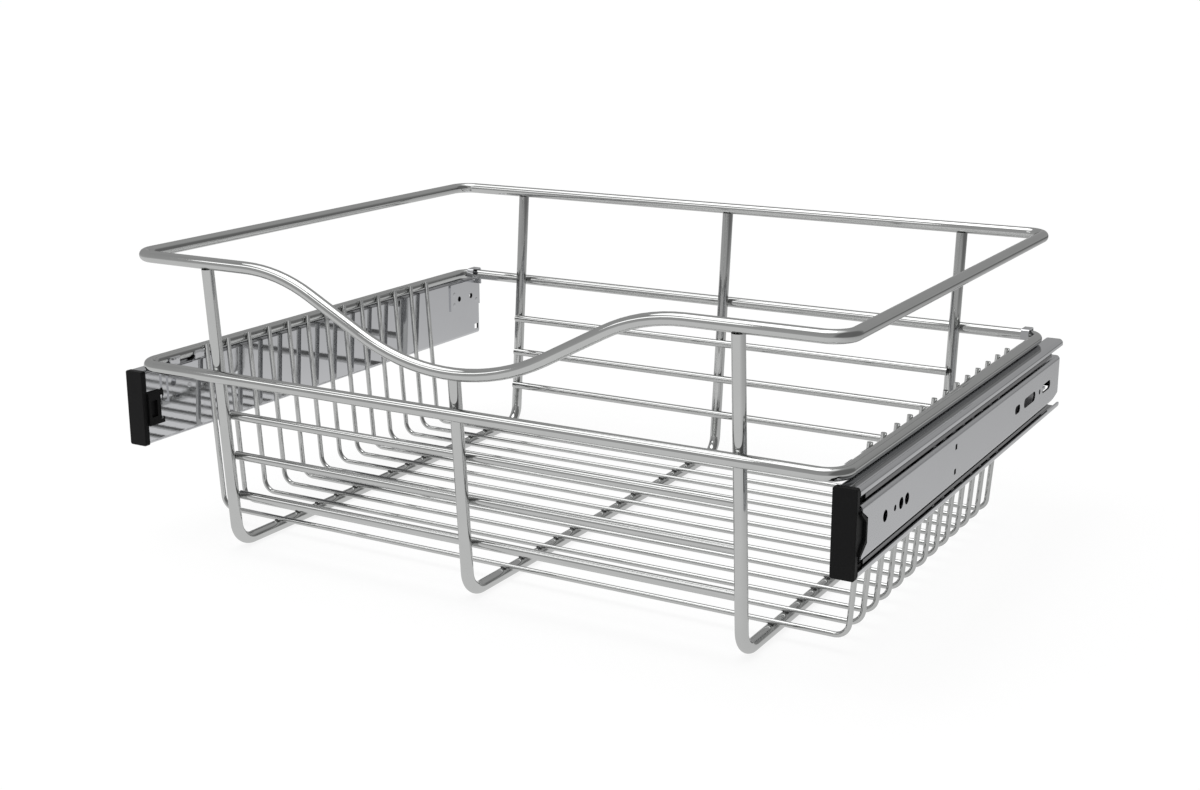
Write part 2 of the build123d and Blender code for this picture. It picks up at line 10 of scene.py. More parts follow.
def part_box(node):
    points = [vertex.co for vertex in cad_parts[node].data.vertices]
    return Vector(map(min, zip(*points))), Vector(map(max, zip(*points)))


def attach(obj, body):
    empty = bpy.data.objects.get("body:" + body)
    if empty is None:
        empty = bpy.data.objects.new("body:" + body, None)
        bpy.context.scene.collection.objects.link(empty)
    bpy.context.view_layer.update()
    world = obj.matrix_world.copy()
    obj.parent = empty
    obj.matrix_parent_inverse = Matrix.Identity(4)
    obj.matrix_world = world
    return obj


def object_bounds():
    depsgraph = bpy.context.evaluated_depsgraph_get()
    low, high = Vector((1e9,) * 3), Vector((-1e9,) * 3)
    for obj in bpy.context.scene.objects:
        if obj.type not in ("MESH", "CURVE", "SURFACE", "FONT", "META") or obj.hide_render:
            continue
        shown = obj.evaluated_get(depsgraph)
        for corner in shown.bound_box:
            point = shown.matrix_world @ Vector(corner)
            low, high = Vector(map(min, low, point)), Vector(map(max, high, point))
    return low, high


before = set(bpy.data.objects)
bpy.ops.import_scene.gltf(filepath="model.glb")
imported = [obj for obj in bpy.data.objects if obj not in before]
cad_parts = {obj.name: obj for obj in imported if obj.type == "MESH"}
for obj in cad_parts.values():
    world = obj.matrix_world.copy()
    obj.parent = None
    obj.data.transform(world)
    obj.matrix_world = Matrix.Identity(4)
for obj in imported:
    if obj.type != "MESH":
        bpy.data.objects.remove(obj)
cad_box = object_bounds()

bl_info = {
    "name": "Pull-out Cabinet Basket",
    "version": (1, 0, 0),
    "blender": (4, 5, 0),
    "location": "View3D > Sidebar > Basket",
    "description": "Finishes and small details of a wire basket on ball slides",
    "category": "Object",
}

SIDES = {"left": -1, "right": 1}
RIBS = ("rib_left", "rib_middle", "rib_right")
GAUGE = 0.0012  # sheet of the slides
BRACKET_GAUGE = 0.001
SKIN = 0.00005  # a mask reaches this far past the face that it covers

# Spot welds of the brackets: the end of the slide they are measured from, how far in they lie and
# how high over the slide's middle line.
SPOT_WELDS = (
    ("front", 0.0355, 0.0065),
    ("front", 0.0325, 0.0155),
    ("rear", 0.0335, 0.0045),
    ("rear", 0.0335, 0.0125),
    ("rear", 0.0045, 0.0040),
)
SPOT_RISE = 0.00012

FLOOR_REACH = 15.0  # the paper's half width
FLOOR_GAP = 0.0003  # clears the basket's underside
SENSOR_WIDTH = 36.0  # millimetres


# ---------------------------------------------------------------- settings
class BasketFinishSettings(bpy.types.PropertyGroup):
    """Colours and roughness of the basket's finishes."""

    wire_colour: FloatVectorProperty(
        name="Wire colour", description="Plating on the rods", subtype="COLOR",
        default=(0.50, 0.505, 0.50), min=0, max=1,
    )
    wire_roughness: FloatProperty(
        name="Wire roughness", description="Haze of the plating", subtype="FACTOR",
        default=0.055, min=0, max=1,
    )
    sheet_colour: FloatVectorProperty(
        name="Sheet colour", description="Plating on the slides and brackets", subtype="COLOR",
        default=(0.55, 0.555, 0.57), min=0, max=1,
    )
    bright_roughness: FloatProperty(
        name="Bright sheet roughness", description="Haze of the members that carry the basket",
        subtype="FACTOR", default=0.035, min=0, max=1,
    )
    sheet_roughness: FloatProperty(
        name="Sheet roughness", description="Haze of the members on the wall", subtype="FACTOR",
        default=0.2, min=0, max=1,
    )
    # Painted shade: the middle members and ball retainers are coloured far darker than their bright
    # plating, for the shade in the gaps between the members.
    middle_shade_colour: FloatVectorProperty(
        name="Middle shade colour", description="Middle members and ball retainers", subtype="COLOR",
        default=(0.20, 0.20, 0.205), min=0, max=1,
    )
    # Roughness of the middle members and ball retainers; their dark colour is painted shade, not oil.
    middle_roughness: FloatProperty(
        name="Middle roughness", description="Haze of the oil film", subtype="FACTOR",
        default=0.3, min=0, max=1,
    )
    ball_colour: FloatVectorProperty(
        name="Ball colour", description="Bearing balls", subtype="COLOR",
        default=(0.5, 0.5, 0.51), min=0, max=1,
    )
    ball_roughness: FloatProperty(
        name="Ball roughness", description="Haze of the balls", subtype="FACTOR",
        default=0.06, min=0, max=1,
    )
    # Painted shade: the weld beads are near black, far darker than the plated wire, for the shade where
    # rods cross and meet.
    weld_shade_colour: FloatVectorProperty(
        name="Weld shade colour", description="Plated weld metal", subtype="COLOR",
        default=(0.08, 0.08, 0.08), min=0, max=1,
    )
    weld_roughness: FloatProperty(
        name="Weld roughness", description="Haze of the weld metal", subtype="FACTOR",
        default=0.3, min=0, max=1,
    )
    plastic_colour: FloatVectorProperty(
        name="Plastic colour", description="Moulded caps and levers", subtype="COLOR",
        default=(0.0055, 0.0055, 0.0058), min=0, max=1,
    )
    plastic_roughness: FloatProperty(
        name="Plastic roughness", description="Sheen of the moulded grain", subtype="FACTOR",
        default=0.55, min=0, max=1,
    )


class BasketDetailSettings(bpy.types.PropertyGroup):
    """Sizes of the small details."""

    bead_reach: FloatProperty(
        name="Bead reach", description="Half width of a weld bead round the spot where two rods touch",
        unit="LENGTH", default=0.0019, min=0.0005, max=0.006,
    )
    bead_rise: FloatProperty(
        name="Bead rise", description="Half thickness of a weld bead across the seam", unit="LENGTH",
        default=0.0006, min=0.0002, max=0.003,
    )
    spot_radius: FloatProperty(
        name="Spot radius", description="Radius of a spot weld on a bracket", unit="LENGTH",
        default=0.0016, min=0.0005, max=0.004,
    )


class BasketStageSettings(bpy.types.PropertyGroup):
    """Camera and studio."""

    lens: FloatProperty(
        name="Lens", description="Focal length in millimetres", default=50.0, min=10, max=200,
    )
    azimuth: FloatProperty(
        name="Azimuth", description="Way the camera looks, from straight at the front", subtype="ANGLE",
        default=radians(29.7425),
    )
    elevation: FloatProperty(
        name="Elevation", description="How far the camera looks down", subtype="ANGLE",
        default=radians(14.8356),
    )
    camera_place: FloatVectorProperty(
        name="Camera place", description="Where the camera stands", subtype="TRANSLATION",
        default=(0.4831, -0.86035, 0.3398),
    )
    floor_colour: FloatVectorProperty(
        name="Floor colour", description="Paper under the basket", subtype="COLOR",
        default=(0.9, 0.9, 0.9), min=0, max=1,
    )
    shadow: FloatProperty(
        name="Shadow", description="How much of the paper's white comes from the light on it",
        subtype="FACTOR", default=0.14, min=0, max=1,
    )
    sun_strength: FloatProperty(
        name="Sun", description="Strength of the broad key light", default=1.0, min=0,
    )
    sky_strength: FloatProperty(
        name="Sky", description="Brightest tone of the studio", default=2.4, min=0,
    )
    strip_place: FloatVectorProperty(
        name="Strip place", description="Middle of the strip light, up in front on the left",
        subtype="TRANSLATION", default=(-0.65, -0.9, 0.79),
    )
    strip_length: FloatProperty(
        name="Strip length", description="Length of the strip light", unit="LENGTH",
        default=0.8, min=0.1,
    )
    strip_width: FloatProperty(
        name="Strip width", description="Width of the strip light", unit="LENGTH",
        default=0.26, min=0.02,
    )
    strip_tone: FloatProperty(
        name="Strip tone", description="How bright the strip light looks in the metal",
        default=1.8, min=0,
    )


# ---------------------------------------------------------------- places in the frame
def low(node):
    """Low corner of a node's box."""
    return Vector(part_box(node)[0])


def high(node):
    """High corner of a node's box."""
    return Vector(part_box(node)[1])


def middle(node):
    """Middle of a node's box."""
    return (low(node) + high(node)) / 2


def channel_walls():
    """Inner faces of the slide channels: across from the middle, their level and half their height."""
    web = -low("front_bracket_left").x
    lips = -low("basket_member_left").x
    tall = high("basket_member_left").z - low("basket_member_left").z
    return {
        "Inner Wall": web + GAUGE - SKIN,
        "Outer Wall": lips - GAUGE - SKIN,
        "Level": middle("basket_member_left").z,
        "Half Height": tall / 2 - GAUGE + SKIN,
    }


# ---------------------------------------------------------------- shader groups
COLUMN, ROW = 220, 180  # pitch of the nodes in the editor
FINE_STEP = 14  # the fine haze is this many times as fine as the clouds
SCUFF_RANGE = (0.58, 0.72)  # part of the noise that shows as a scuff
# Painted shade: the colour goes darker towards an edge as the face turns away from the camera.
EDGE_RANGE = (0.62, 0.95)  # how far a face turns away while its edge tone comes in
EDGE_SHADE_TONE = (0.03, 0.03, 0.03)
EDGE_TINT = 0.5  # how far the mirrored light at the edge follows it down
SCUFF_DULLING = 0.08
PLATING_RELIEF = 0.00001  # depth of the plating's grain
# Painted shade: colour of the plating inside the slide channels, darker than the real bright plating.
CHANNEL_SHADE_PLATING = (0.17, 0.17, 0.173)
WEAR_SHARE = 0.12  # how far a scuff goes to the worn colour
WEAR_LIFT = 4  # the worn plastic is this many times as pale
MOULD_GRAIN = 3200.0
MOULD_STRENGTH, MOULD_RELIEF = 0.25, 0.00006
MOULD_SPECULAR = 0.14


def place(tree, kind, at, **settings):
    """Adds a node at a column and row, with its plain settings."""
    node = tree.nodes.new(kind)
    node.location = (at[0] * COLUMN, -at[1] * ROW)
    for name, value in settings.items():
        setattr(node, name, value)
    return node


def map_range(tree, source, at, span, result=(0.0, 1.0), smooth=False):
    """Brings a value from one range to another, and holds it there."""
    node = place(tree, "ShaderNodeMapRange", at)
    if smooth:
        node.interpolation_type = "SMOOTHSTEP"
    for label, value in zip(("From Min", "From Max", "To Min", "To Max"), (*span, *result)):
        node.inputs[label].default_value = value
    tree.links.new(source, node.inputs["Value"])
    return node


def new_group(name, inputs, outputs):
    """A shader group with named sockets, given as (name, type, default)."""
    group = bpy.data.node_groups.new(name, "ShaderNodeTree")
    for label, kind, default in inputs:
        socket = group.interface.new_socket(label, in_out="INPUT", socket_type=kind)
        if default is not None:
            socket.default_value = default
    for label, kind in outputs:
        group.interface.new_socket(label, in_out="OUTPUT", socket_type=kind)
    start = place(group, "NodeGroupInput", (-5, 0))
    end = place(group, "NodeGroupOutput", (5, 0))
    return group, start, end


def plating_haze():
    """Cloudy change of tone and gloss in a plated surface."""
    group, start, end = new_group(
        "plating_haze",
        [
            ("Vector", "NodeSocketVector", None),
            ("Colour", "NodeSocketColor", None),
            ("Roughness", "NodeSocketFloat", 0.15),
            ("Scale", "NodeSocketFloat", 40.0),
            ("Tone", "NodeSocketFloat", 0.08),
            ("Spread", "NodeSocketFloat", 0.05),
        ],
        [("Colour", "NodeSocketColor"), ("Roughness", "NodeSocketFloat"), ("Height", "NodeSocketFloat")],
    )
    link = group.links.new
    cloud = place(group, "ShaderNodeTexNoise", (-3, -1))
    cloud.inputs["Detail"].default_value = 5
    link(start.outputs["Vector"], cloud.inputs["Vector"])
    link(start.outputs["Scale"], cloud.inputs["Scale"])
    fine_scale = place(group, "ShaderNodeMath", (-4, 1), operation="MULTIPLY")
    fine_scale.inputs[1].default_value = FINE_STEP
    link(start.outputs["Scale"], fine_scale.inputs[0])
    fine = place(group, "ShaderNodeTexNoise", (-3, 1))
    fine.inputs["Detail"].default_value = 2
    link(start.outputs["Vector"], fine.inputs["Vector"])
    link(fine_scale.outputs[0], fine.inputs["Scale"])

    centred = place(group, "ShaderNodeMath", (-2, -1), operation="SUBTRACT")
    centred.inputs[1].default_value = 0.5
    link(cloud.outputs["Fac"], centred.inputs[0])
    darker = place(group, "ShaderNodeMath", (-1, -2), operation="MULTIPLY_ADD")
    darker.inputs[2].default_value = 1.0
    link(centred.outputs[0], darker.inputs[0])
    link(start.outputs["Tone"], darker.inputs[1])
    tinted = place(group, "ShaderNodeVectorMath", (0, -2), operation="SCALE")
    link(start.outputs["Colour"], tinted.inputs[0])
    link(darker.outputs[0], tinted.inputs["Scale"])
    link(tinted.outputs[0], end.inputs["Colour"])
    rough = place(group, "ShaderNodeMath", (0, 0), operation="MULTIPLY_ADD")
    link(centred.outputs[0], rough.inputs[0])
    link(start.outputs["Spread"], rough.inputs[1])
    link(start.outputs["Roughness"], rough.inputs[2])
    link(rough.outputs[0], end.inputs["Roughness"])
    link(fine.outputs["Fac"], end.inputs["Height"])
    return group


def drawn_lines():
    """Fine lines left along a strip or rod by rolling or drawing."""
    group, start, end = new_group(
        "drawn_lines",
        [
            ("Vector", "NodeSocketVector", None),
            ("Stretch", "NodeSocketVector", (600.0, 6.0, 600.0)),
        ],
        [("Height", "NodeSocketFloat")],
    )
    link = group.links.new
    squeezed = place(group, "ShaderNodeVectorMath", (-4, 0), operation="MULTIPLY")
    link(start.outputs["Vector"], squeezed.inputs[0])
    link(start.outputs["Stretch"], squeezed.inputs[1])
    lines = place(group, "ShaderNodeTexNoise", (-3, 0))
    lines.inputs["Scale"].default_value = 1.0
    lines.inputs["Detail"].default_value = 4
    link(squeezed.outputs[0], lines.inputs["Vector"])
    link(lines.outputs["Fac"], end.inputs["Height"])
    return group


def handling_marks():
    """Small scattered scuffs, as a mask."""
    group, start, end = new_group(
        "handling_marks",
        [
            ("Vector", "NodeSocketVector", None),
            ("Scale", "NodeSocketFloat", 120.0),
            ("Amount", "NodeSocketFloat", 0.5),
        ],
        [("Mask", "NodeSocketFloat")],
    )
    link = group.links.new
    patches = place(group, "ShaderNodeTexNoise", (-3, -1))
    patches.inputs["Detail"].default_value = 6
    patches.inputs["Roughness"].default_value = 0.7
    link(start.outputs["Vector"], patches.inputs["Vector"])
    link(start.outputs["Scale"], patches.inputs["Scale"])
    picked = map_range(group, patches.outputs["Fac"], (-1, -1), SCUFF_RANGE)
    scaled = place(group, "ShaderNodeMath", (1, -1), operation="MULTIPLY")
    link(picked.outputs[0], scaled.inputs[0])
    link(start.outputs["Amount"], scaled.inputs[1])
    link(scaled.outputs[0], end.inputs["Mask"])
    return group


def use_group(tree, group, at, **values):
    """Places a shader group in a material, with its own values."""
    node = place(tree, "ShaderNodeGroup", at, node_tree=group)
    for name, value in values.items():
        node.inputs[name].default_value = value
    return node


def new_material(name):
    """An empty material with its shader, bump and object coordinates in place."""
    material = bpy.data.materials.new(name)
    material.use_nodes = True
    tree = material.node_tree
    shader = tree.nodes["Principled BSDF"]
    where = place(tree, "ShaderNodeTexCoord", (-6, 0))
    bump = place(tree, "ShaderNodeBump", (-1, 3))
    tree.links.new(bump.outputs["Normal"], shader.inputs["Normal"])
    return material, tree, shader, where, bump


def plated_metal(name, colour, roughness, groups, haze_scale, stretch, line_share, edge, grain=0.15):
    """Plated steel: haze, lines along the metal, a few scuffs and painted shade that darkens an edge where
    it turns away.
    """
    material, tree, shader, where, bump = new_material(name)
    link = tree.links.new
    shader.inputs["Metallic"].default_value = 1.0
    haze = use_group(tree, groups["haze"], (-4, 0), Colour=(*colour, 1), Roughness=roughness,
                     Scale=haze_scale, Tone=0.1, Spread=0.05)
    lines = use_group(tree, groups["lines"], (-4, 2), Stretch=stretch)
    scuffs = use_group(tree, groups["marks"], (-4, 3), Scale=90.0, Amount=0.35)
    for group in (haze, lines, scuffs):
        link(where.outputs["Object"], group.inputs["Vector"])
    turned = place(tree, "ShaderNodeLayerWeight", (-4, -2))
    turned.inputs["Blend"].default_value = 0.5
    # Painted shade at the edges, set by how far a face turns from the camera.
    rim = map_range(tree, turned.outputs["Facing"], (-3, -2), EDGE_RANGE, (0.0, edge), smooth=True)
    shaded = place(tree, "ShaderNodeMix", (-2, -1), data_type="RGBA")
    shaded.inputs["B"].default_value = (*EDGE_SHADE_TONE, 1)
    link(rim.outputs[0], shaded.inputs["Factor"])
    link(haze.outputs["Colour"], shaded.inputs["A"])
    link(shaded.outputs["Result"], shader.inputs["Base Color"])
    tint = 1 - EDGE_TINT * edge
    shader.inputs["Specular Tint"].default_value = (tint, tint, tint, 1)
    duller = place(tree, "ShaderNodeMath", (-2, 1), operation="MULTIPLY_ADD")
    duller.inputs[1].default_value = SCUFF_DULLING
    link(scuffs.outputs["Mask"], duller.inputs[0])
    link(haze.outputs["Roughness"], duller.inputs[2])
    link(duller.outputs[0], shader.inputs["Roughness"])
    blended = place(tree, "ShaderNodeMix", (-2, 3))
    blended.inputs["Factor"].default_value = line_share
    link(haze.outputs["Height"], blended.inputs["A"])
    link(lines.outputs["Height"], blended.inputs["B"])
    link(blended.outputs["Result"], bump.inputs["Height"])
    bump.inputs["Strength"].default_value = grain
    bump.inputs["Distance"].default_value = PLATING_RELIEF
    return material


def inside_channel():
    """Mask of the inside of the two slide channels, where painted shade darkens the plating."""
    group, start, end = new_group(
        "inside_channel",
        [
            ("Vector", "NodeSocketVector", None),
            *[(label, "NodeSocketFloat", value) for label, value in channel_walls().items()],
        ],
        [("Mask", "NodeSocketFloat")],
    )
    link = group.links.new
    split = place(group, "ShaderNodeSeparateXYZ", (-4, 0))
    link(start.outputs["Vector"], split.inputs[0])
    out = place(group, "ShaderNodeMath", (-3, -1), operation="ABSOLUTE")
    link(split.outputs["X"], out.inputs[0])
    past = place(group, "ShaderNodeMath", (-2, -2), operation="GREATER_THAN")
    link(out.outputs[0], past.inputs[0])
    link(start.outputs["Inner Wall"], past.inputs[1])
    before = place(group, "ShaderNodeMath", (-2, -1), operation="LESS_THAN")
    link(out.outputs[0], before.inputs[0])
    link(start.outputs["Outer Wall"], before.inputs[1])
    rise = place(group, "ShaderNodeMath", (-3, 1), operation="SUBTRACT")
    link(split.outputs["Z"], rise.inputs[0])
    link(start.outputs["Level"], rise.inputs[1])
    away = place(group, "ShaderNodeMath", (-2, 1), operation="ABSOLUTE")
    link(rise.outputs[0], away.inputs[0])
    within = place(group, "ShaderNodeMath", (-1, 1), operation="LESS_THAN")
    link(away.outputs[0], within.inputs[0])
    link(start.outputs["Half Height"], within.inputs[1])
    across = place(group, "ShaderNodeMath", (-1, -1), operation="MULTIPLY")
    link(past.outputs[0], across.inputs[0])
    link(before.outputs[0], across.inputs[1])
    both = place(group, "ShaderNodeMath", (0, 0), operation="MULTIPLY")
    link(across.outputs[0], both.inputs[0])
    link(within.outputs[0], both.inputs[1])
    link(both.outputs[0], end.inputs["Mask"])
    return group


def paint_channel_shade(material, groups):
    """Paints shade into a sheet's colour inside the channels."""
    tree = material.node_tree
    shader = tree.nodes["Principled BSDF"]
    where = place(tree, "ShaderNodeTexCoord", (-4, -4))
    mask = use_group(tree, groups["inside"], (-3, -4))
    tree.links.new(where.outputs["Object"], mask.inputs["Vector"])
    painted_shade = place(tree, "ShaderNodeMix", (-1, -2), data_type="RGBA")
    painted_shade.inputs["B"].default_value = (*CHANNEL_SHADE_PLATING, 1)
    source = shader.inputs["Base Color"].links[0].from_socket
    tree.links.new(mask.outputs["Mask"], painted_shade.inputs["Factor"])
    tree.links.new(source, painted_shade.inputs["A"])
    tree.links.new(painted_shade.outputs["Result"], shader.inputs["Base Color"])


def moulded_plastic(name, colour, roughness, groups):
    """Black moulding with a spark-eroded grain."""
    material, tree, shader, where, bump = new_material(name)
    link = tree.links.new
    haze = use_group(tree, groups["haze"], (-4, 0), Colour=(*colour, 1), Roughness=roughness,
                     Scale=60.0, Tone=0.5, Spread=0.15)
    scuffs = use_group(tree, groups["marks"], (-4, 3), Scale=160.0, Amount=1.0)
    for group in (haze, scuffs):
        link(where.outputs["Object"], group.inputs["Vector"])
    worn = place(tree, "ShaderNodeMix", (-2, 0), data_type="RGBA")
    worn.inputs["B"].default_value = (*[WEAR_LIFT * c for c in colour], 1)
    faint = place(tree, "ShaderNodeMath", (-3, 2), operation="MULTIPLY")
    faint.inputs[1].default_value = WEAR_SHARE
    link(scuffs.outputs["Mask"], faint.inputs[0])
    link(faint.outputs[0], worn.inputs["Factor"])
    link(haze.outputs["Colour"], worn.inputs["A"])
    link(worn.outputs["Result"], shader.inputs["Base Color"])
    link(haze.outputs["Roughness"], shader.inputs["Roughness"])
    grain = place(tree, "ShaderNodeTexNoise", (-4, 4))
    grain.inputs["Scale"].default_value = MOULD_GRAIN
    grain.inputs["Detail"].default_value = 3.0
    link(where.outputs["Object"], grain.inputs["Vector"])
    link(grain.outputs["Fac"], bump.inputs["Height"])
    bump.inputs["Strength"].default_value = MOULD_STRENGTH
    bump.inputs["Distance"].default_value = MOULD_RELIEF
    shader.inputs["Specular IOR Level"].default_value = MOULD_SPECULAR
    return material


def give(node, material):
    """Puts a finish on a node of the frame."""
    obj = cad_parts[node]
    obj.data.materials.clear()
    obj.data.materials.append(material)


WIRE_WORK = ("top_rim", "carry_rail", "rib_", "front_bar", "back_bar", "cross_wire")
BRIGHT = ("basket_member", "front_bracket", "rear_bracket")
# Middle members and ball retainers, coloured in painted shade for the gaps between the members.
SHADE_DARKENED = ("middle_member", "outer_retainer", "inner_retainer")
PLASTIC = ("end_cap", "release_lever")
BALLS = ("outer_balls", "inner_balls")


class BASKET_OT_finishes(bpy.types.Operator):
    """Make the finishes and put them on the frame's pieces"""

    bl_idname = "basket.finishes"
    bl_label = "Finishes"

    def execute(self, context):
        look = context.scene.basket_finish
        groups = {"haze": plating_haze(), "lines": drawn_lines(), "marks": handling_marks(),
                  "inside": inside_channel()}
        even = {"stretch": (90.0, 90.0, 90.0)}
        rolled = {"stretch": (900.0, 9.0, 900.0), "line_share": 0.8}
        sheet = {"haze_scale": 30.0, "edge": 0.15, **rolled}
        finishes = {
            WIRE_WORK: plated_metal("chrome_wire", look.wire_colour, look.wire_roughness, groups,
                                    haze_scale=55.0, line_share=0.2, edge=0.25, grain=0.05, **even),
            BRIGHT: plated_metal("bright_sheet", look.sheet_colour, look.bright_roughness, groups, **sheet),
            # Painted shade on the middle members and ball retainers.
            SHADE_DARKENED: plated_metal("oiled_steel", look.middle_shade_colour, look.middle_roughness, groups,
                                haze_scale=80.0, edge=0.3, **rolled),
            BALLS: plated_metal("bearing_steel", look.ball_colour, look.ball_roughness, groups,
                                haze_scale=300.0, line_share=0.0, edge=0.5, **even),
            PLASTIC: moulded_plastic("black_plastic", look.plastic_colour, look.plastic_roughness, groups),
        }
        rest = plated_metal("zinc_sheet", look.sheet_colour, look.sheet_roughness, groups, **sheet)
        # Painted shade inside the channels of the members that carry the basket.
        paint_channel_shade(finishes[BRIGHT], groups)
        # The weld beads' near-black colour is painted shade at the joints.
        plated_metal("weld_metal", look.weld_shade_colour, look.weld_roughness, groups,
                     haze_scale=600.0, line_share=0.0, edge=0.6, **even)
        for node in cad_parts:
            fitting = [finish for starts, finish in finishes.items() if node.startswith(starts)]
            give(node, fitting[0] if fitting else rest)
        return {"FINISHED"}


# ---------------------------------------------------------------- small details
def nodes_of(start):
    """Names of the frame's nodes that begin alike, in order."""
    return sorted(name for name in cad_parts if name.startswith(start))


def rod_radius(rod, axis):
    """Radius of a straight rod, from its box."""
    return (high(rod)[axis] - low(rod)[axis]) / 2


def bead(mesh, centre, across, size):
    """A small flattened bead of weld metal, thin along the axis across."""
    radii = [size.bead_reach] * 3
    radii[across] = size.bead_rise
    matrix = Matrix.Translation(centre) @ Matrix.Diagonal((*radii, 1))
    bmesh.ops.create_uvsphere(mesh, u_segments=10, v_segments=6, radius=1, matrix=matrix)


def finish_piece(mesh, name, body, material, smooth=True):
    """Turns a bmesh into a piece that rides on a body."""
    bmesh.ops.recalc_face_normals(mesh, faces=mesh.faces)
    for face in mesh.faces:
        face.smooth = smooth
    data = bpy.data.meshes.new(name)
    mesh.to_mesh(data)
    mesh.free()
    piece = bpy.data.objects.new(name, data)
    bpy.context.scene.collection.objects.link(piece)
    data.materials.append(bpy.data.materials[material])
    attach(piece, body)
    return piece


class BASKET_OT_floor_welds(bpy.types.Operator):
    """Add the beads where the cross wires lie on the ribs"""

    bl_idname = "basket.floor_welds"
    bl_label = "Floor Welds"

    def execute(self, context):
        size = context.scene.basket_detail
        mesh = bmesh.new()
        for rib in RIBS:
            top = 2 * rod_radius("rib_middle", 0)
            for wire in nodes_of("cross_wire"):
                bead(mesh, Vector((middle(rib).x, middle(wire).y, top)), 2, size)
        finish_piece(mesh, "floor_weld_beads", "basket", "weld_metal")
        return {"FINISHED"}


class BASKET_OT_rail_welds(bpy.types.Operator):
    """Add the beads that join the cross wires' ends and the posts to the carrying rail"""

    bl_idname = "basket.rail_welds"
    bl_label = "Rail Welds"

    def execute(self, context):
        size = context.scene.basket_detail
        rail_z = middle("carry_rail").z
        rail_d = high("carry_rail").z - low("carry_rail").z
        mesh = bmesh.new()
        for sign in SIDES.values():
            inner = sign * (high("carry_rail").x - rail_d)
            for wire in nodes_of("cross_wire"):
                bead(mesh, Vector((inner, middle(wire).y, rail_z)), 0, size)
        finish_piece(mesh, "wire_end_beads", "basket", "weld_metal")
        mesh = bmesh.new()
        for rib in RIBS:
            for seam in (low("carry_rail").y + rail_d, high("carry_rail").y - rail_d):
                bead(mesh, Vector((middle(rib).x, seam, rail_z)), 1, size)
        finish_piece(mesh, "post_weld_beads", "basket", "weld_metal")
        return {"FINISHED"}


class BASKET_OT_bar_welds(bpy.types.Operator):
    """Add the beads between the level bars and the posts"""

    bl_idname = "basket.bar_welds"
    bl_label = "Bar Welds"

    def execute(self, context):
        size = context.scene.basket_detail
        mesh = bmesh.new()
        for start, seam in (("front_bar", low), ("back_bar", high)):
            for bar in nodes_of(start):
                for rib in RIBS:
                    bead(mesh, Vector((middle(rib).x, seam(bar).y, middle(bar).z)), 1, size)
        finish_piece(mesh, "bar_weld_beads", "basket", "weld_metal")
        return {"FINISHED"}


class BASKET_OT_spot_welds(bpy.types.Operator):
    """Add the spot welds that hold the brackets to the slides"""

    bl_idname = "basket.spot_welds"
    bl_label = "Spot Welds"

    def execute(self, context):
        radius = context.scene.basket_detail.spot_radius
        plate = -low("front_bracket_left").x - BRACKET_GAUGE
        mesh = bmesh.new()
        for side, sign in SIDES.items():
            member = f"basket_member_{side}"
            for end, inset, rise in SPOT_WELDS:
                y = low(member).y + inset if end == "front" else high(member).y - inset
                centre = Matrix.Translation((sign * plate, y, middle(member).z + rise))
                flat = centre @ Matrix.Diagonal((SPOT_RISE, radius, radius, 1))
                bmesh.ops.create_uvsphere(mesh, u_segments=16, v_segments=8, radius=1, matrix=flat)
        finish_piece(mesh, "bracket_spot_welds", "basket", "bright_sheet")
        return {"FINISHED"}


# ---------------------------------------------------------------- studio
KEY_SPREAD = radians(50)
KEY_AIM = (0.25, 0.1, -0.96)


def broad_sun(strength):
    """A broad key light from above on the left, the same all over the floor."""
    sun = bpy.data.lights.new("key_light", "SUN")
    sun.energy = strength
    sun.angle = KEY_SPREAD
    obj = bpy.data.objects.new("key_light", sun)
    bpy.context.scene.collection.objects.link(obj)
    obj.rotation_euler = Vector(KEY_AIM).to_track_quat("-Z", "Y").to_euler()


# Painted light of the paper in the metal, from the front left (0) to far off at the back right (1).
PAINTED_PAPER_LIGHT = ((0.0, 0.92), (0.22, 0.92), (0.37, 0.72), (0.45, 0.68), (1.0, 0.35))
PAPER_WAY = (0.707, 0.707, 0)  # the way those tones run
PAPER_SPAN = (-0.5, 1.5)
FADE_SPAN = (0.7, 1.8)  # distance over which the mirrored paper falls off
FADE_TO = 0.62
OPEN_PAPER = 1.15  # brings the open paper, lit by this studio, up to white


def tone_ramp(tree, tones, at):
    """A ramp of greys."""
    ramp = place(tree, "ShaderNodeValToRGB", at)
    points = ramp.color_ramp.elements
    while len(points) < len(tones):
        points.new(0.5)
    for point, (height, tone) in zip(points, tones):
        point.position = height
        point.color = (tone, tone, tone, 1)
    return ramp


def strip_light(stage):
    """A long soft light up in front on the left, mirrored in the level rods as a thin bright line."""
    strip = bpy.data.lights.new("strip_light", "AREA")
    strip.shape = "RECTANGLE"
    strip.size, strip.size_y = stage.strip_length, stage.strip_width
    strip.energy = stage.strip_tone * pi * stage.strip_length * stage.strip_width
    obj = bpy.data.objects.new("strip_light", strip)
    bpy.context.scene.collection.objects.link(obj)
    obj.location = stage.strip_place
    facing = Vector((0, -obj.location.y, middle("top_rim").z - obj.location.z))
    obj.rotation_euler = facing.to_track_quat("-Z", "Y").to_euler()
    obj.visible_camera = False


